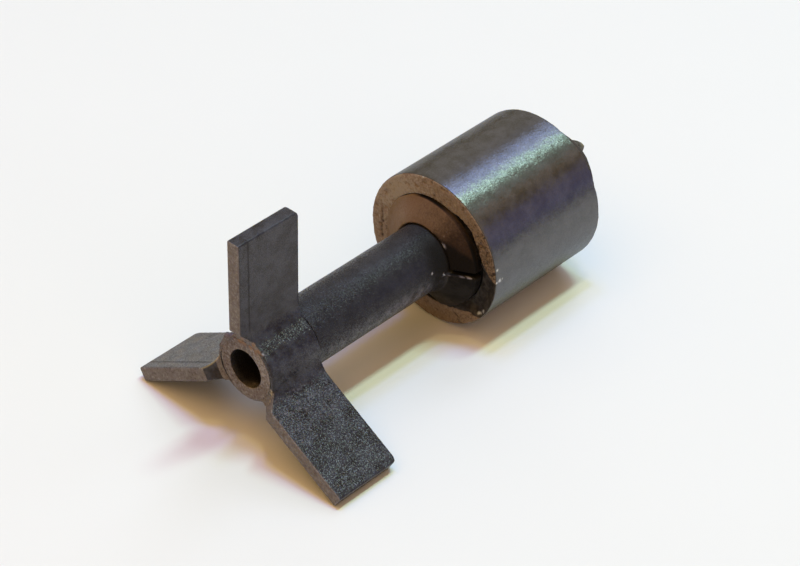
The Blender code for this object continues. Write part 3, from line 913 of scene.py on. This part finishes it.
def plastic_look(name, clean, wear_and_sheen, palette, grain, mottle, shine):
    """Black moulded plastic, browned where deposit and a lit patch in the bore are painted, and near black
    where shade and dark lines are painted. grain is how far its facets lean, mottle how uneven the deposit
    is, and shine how much the plastic reflects."""
    look = Look(name)
    clouds = look.noise(1.1, 5, 0.7)
    clean = look.mix(look.ramp(clouds, 0.36, 0.64), *clean)
    scuffs = look.ramp(look.noise(0.9, 4, 0.65), 0.35, 0.75)
    # Wear, and a painted sheen on the tube's lower side and the left blade's top.
    clean = look.mix(look.math("MULTIPLY", look.attribute("wear_and_sheen"), scuffs), clean, wear_and_sheen)
    deposit = brown_deposit(look, palette, mottle)
    # Deposit, and a painted lit patch in the tube's bore.
    amount = spread_edge(look, look.attribute("stain_and_bore_light"), 0.35, 0.5)
    colour = look.mix(amount, clean, deposit)
    colour = look.mix(look.attribute("rust"), colour, RUST)
    # Moulding flash, and painted highlights on small edges and in the bore.
    colour = look.mix(look.attribute("flash_and_highlight"), colour, FLASH_AND_HIGHLIGHT)
    # Painted shade in the bore, the groove and the gaps, and dark lines, all in near black.
    line = look.math("MULTIPLY", look.line_at(LINE_X, LINE_HALF_WIDTH), look.attribute("lined"))
    shade_and_dark_marks = look.math("MAXIMUM", look.attribute("shade_and_dark_marks"), look.math("MULTIPLY", line, LINE_DARKNESS))
    colour = look.mix(shade_and_dark_marks, colour, SHADE)
    # Chips, and painted glints and highlights on edges.
    colour = look.mix(look.attribute("chips_and_glints"), colour, CHIP_AND_GLINT)
    look.shader.inputs["Specular IOR Level"].default_value = shine
    look.shader.inputs["Specular Tint"].default_value = SHINE_TINT
    dull = look.math("MAXIMUM", amount, shade_and_dark_marks)
    roughness = look.ramp(dull, 0.0, 1.0, CLEAN_ROUGHNESS, DULL_ROUGHNESS)
    facets = look.facets(0.1, (grain,) * 3, look.attribute("grit"))
    return look.finish(colour, roughness, look.bump(look.noise(0.3, 3, 0.6), 0.02, facets))


def side_look():
    """Ground ferrite: dark grey, with a grain that spreads the lamps' reflections along the side."""
    look = Look("ground_ferrite")
    smudges = look.noise(1.3, 5, 0.65)
    colour = look.mix(look.ramp(smudges, 0.34, 0.66), *GROUND_BLACKS)
    colour = look.mix(look.attribute("chips_and_glints"), colour, CHIPPED_SIDE)
    look.shader.inputs["IOR"].default_value = 2.0
    look.shader.inputs["Anisotropic"].default_value = 0.78
    look.shader.inputs["Anisotropic Rotation"].default_value = 0.25
    ground = look.node("ShaderNodeTangent", direction_type="RADIAL", axis="X").outputs["Tangent"]
    look.feed(look.shader.inputs["Tangent"], ground)
    leaning = look.vectors("ADD", look.facets(0.12, GROUND_TILT), GROUND_LEAN)
    marks = look.vectors("NORMALIZE", leaning)
    return look.finish(colour, GROUND_ROUGHNESS, look.bump(look.noise(1.1, 4, 0.6), 0.05, marks))


def face_look():
    """The magnet's ends: sandy brown deposit, and dull black where the rim has broken."""
    look = Look("stained_ferrite")
    deposit = brown_deposit(look, RIM_BROWNS, 1.5)
    colour = look.mix(spread_edge(look, look.attribute("stain_and_bore_light"), 0.3, 0.4), BARE_END, deposit)
    broken = look.mix(look.ramp(look.noise(0.5, 3), 0.35, 0.65), *BROKEN_BLACKS)
    colour = look.mix(look.attribute("shade_and_dark_marks"), colour, broken)
    colour = look.mix(look.attribute("chips_and_glints"), colour, CHIPPED_END)
    look.shader.inputs["Specular IOR Level"].default_value = 0.25
    return look.finish(colour, END_ROUGHNESS, look.bump(look.noise(0.2, 3, 0.6), 0.05))


# The table: half its width and how far it lies under the part, in metres, and its two whites.
TABLE_HALF_WIDTH = 1.5
TABLE_GAP = 0.00002
TABLE_WHITES = ((0.74, 0.74, 0.74), (0.76, 0.76, 0.76))


def floor_look():
    """A plain white tabletop."""
    look = Look("white_table")
    return look.finish(look.mix(look.noise(30.0, 2), *TABLE_WHITES), TABLE_ROUGHNESS)


def make_floor():
    """A wide pale floor just under the part."""
    bm = bmesh.new()
    bmesh.ops.create_grid(bm, x_segments=1, y_segments=1, size=TABLE_HALF_WIDTH)
    bmesh.ops.translate(bm, vec=(0, 0, -TABLE_GAP), verts=bm.verts)
    mesh = bpy.data.meshes.new("table")
    bm.to_mesh(mesh)
    bm.free()
    mesh.materials.append(floor_look())
    made = bpy.data.objects.new("table", mesh)
    bpy.context.scene.collection.objects.link(made)


# The camera, from the photograph's view: its place in shaft millimetres, its aim, and its lens and
# sensor in millimetres. Nothing nearer than CAMERA_NEAR metres is drawn.
CAMERA_PLACE = (-105.783, -111.581, 128.003)
CAMERA_FORWARD = Vector((0.58446, 0.53010, -0.61433)).normalized()
CAMERA_RIGHT = Vector((0.68289, -0.73026, 0.01956)).normalized()
CAMERA_LENS = 118.22
CAMERA_SENSOR = 36.0
CAMERA_NEAR = 0.01


def make_camera():
    """A camera at the photograph's angle, distance and focal length."""
    data = bpy.data.cameras.new("camera")
    data.lens = CAMERA_LENS
    data.sensor_width = CAMERA_SENSOR
    data.clip_start = CAMERA_NEAR
    camera = bpy.data.objects.new("camera", data)
    bpy.context.scene.collection.objects.link(camera)
    up = CAMERA_RIGHT.cross(CAMERA_FORWARD)
    turn = Matrix((CAMERA_RIGHT, up, -CAMERA_FORWARD)).transposed().to_4x4()
    place = Vector(to_world(np.array(CAMERA_PLACE)))
    camera.matrix_world = Matrix.Translation(place) @ turn
    bpy.context.scene.camera = camera


# Four lamps nearly overhead, the window, and the room's light in large areas and in narrow strips: name,
# direction from the part, length and width in metres, power in watts, and colour.
LAMPS = (
    ("lamp_green", (0.24, -0.135, 1.0), (0.28, 0.08), 4.158, (0.57, 1.0, 0.84)),
    ("lamp_front", (-0.05, -0.12, 1.0), (0.08, 0.08), 1.181, (1.0, 0.8, 0.35)),
    ("lamp_lilac", (0.08, 0.03, 1.0), (0.16, 0.07), 2.75, (0.33, 0.4, 1.0)),
    ("lamp_blue", (0.03, 0.19, 1.0), (0.16, 0.14), 1.795, (0.1, 0.3, 1.0)),
    ("room_front", (-0.469, 0.0, 0.883), (0.8, 0.8), 3.307, (1.0, 0.57, 0.25)),
    ("room_near", (-0.41, -0.71, 0.574), (0.8, 0.8), 2.173, (1.0, 0.63, 0.33)),
    ("lilac_strip", (0.584, 0.15, 0.797), (0.5, 0.32), 1.5, (0.58, 0.72, 1.0)),
    ("room_far", (0.628, 0.53, 0.57), (0.8, 0.95), 1.2, (0.9, 0.93, 1.0)),
    ("room_back", (-0.3, 0.65, 0.7), (0.8, 0.8), 1.04, (1.0, 0.65, 0.29)),
    ("window", (0.584, -0.76, 0.28), (0.8, 0.5), 0.945, (0.13, 0.22, 1.0)),
    ("warm_strip", (0.584, -0.465, 0.665), (0.5, 0.04), 0.151, (1.0, 0.55, 0.36)),
    ("grey_strip", (0.584, -0.346, 0.735), (0.5, 0.16), 0.283, (0.6, 0.85, 1.0)),
)
ROOM_COLOUR = (1.0, 0.76, 0.3, 1.0)
ROOM_STRENGTH = 0.235


def make_light(name, towards, size, power, colour):
    """A soft rectangular lamp one metre from the part, its sides in line with the shaft."""
    data = bpy.data.lights.new(name, "AREA")
    data.shape = "RECTANGLE"
    data.size, data.size_y = size
    data.energy = power
    data.color = colour
    light = bpy.data.objects.new(name, data)
    bpy.context.scene.collection.objects.link(light)
    direction = Vector(towards).normalized()
    along = Vector((1, 0, 0))
    along = (along - direction * along.dot(direction)).normalized()
    turn = Matrix((along, direction.cross(along), direction)).transposed().to_4x4()
    light.matrix_world = Matrix.Translation(Vector((0, 0, AXIS_Z)) + direction) @ turn


def make_lights():
    """The lamps, and a warm, dim surround."""
    for lamp in LAMPS:
        make_light(*lamp)
    world = bpy.data.worlds.new("room")
    bpy.context.scene.world = world
    world.use_nodes = True
    background = world.node_tree.nodes["Background"]
    background.inputs["Color"].default_value = ROOM_COLOUR
    background.inputs["Strength"].default_value = ROOM_STRENGTH
    bpy.context.scene.view_settings.view_transform = "Standard"


def main():
    """Builds the picture: the camera, the lights, the table and the four dressed pieces."""
    make_camera()
    make_lights()
    make_floor()
    blades = plastic_look("blade_plastic", BLADE_BLACKS, BLADE_WEAR_AND_SHEEN, GREY_BROWNS,
                          grain=1.7, mottle=2.0, shine=0.5)
    tube = plastic_look("tube_plastic", TUBE_BLACKS, TUBE_SHEEN, RING_BROWNS,
                        grain=2.4, mottle=2.6, shine=0.22)
    core = plastic_look("core_plastic", CORE_BLACKS, CORE_WORN, BROWNS,
                        grain=0.5, mottle=0.4, shine=0.1)
    make_magnet(side_look(), face_look())
    make_core(core)
    make_tube(tube, core)
    make_blades(blades)


main()
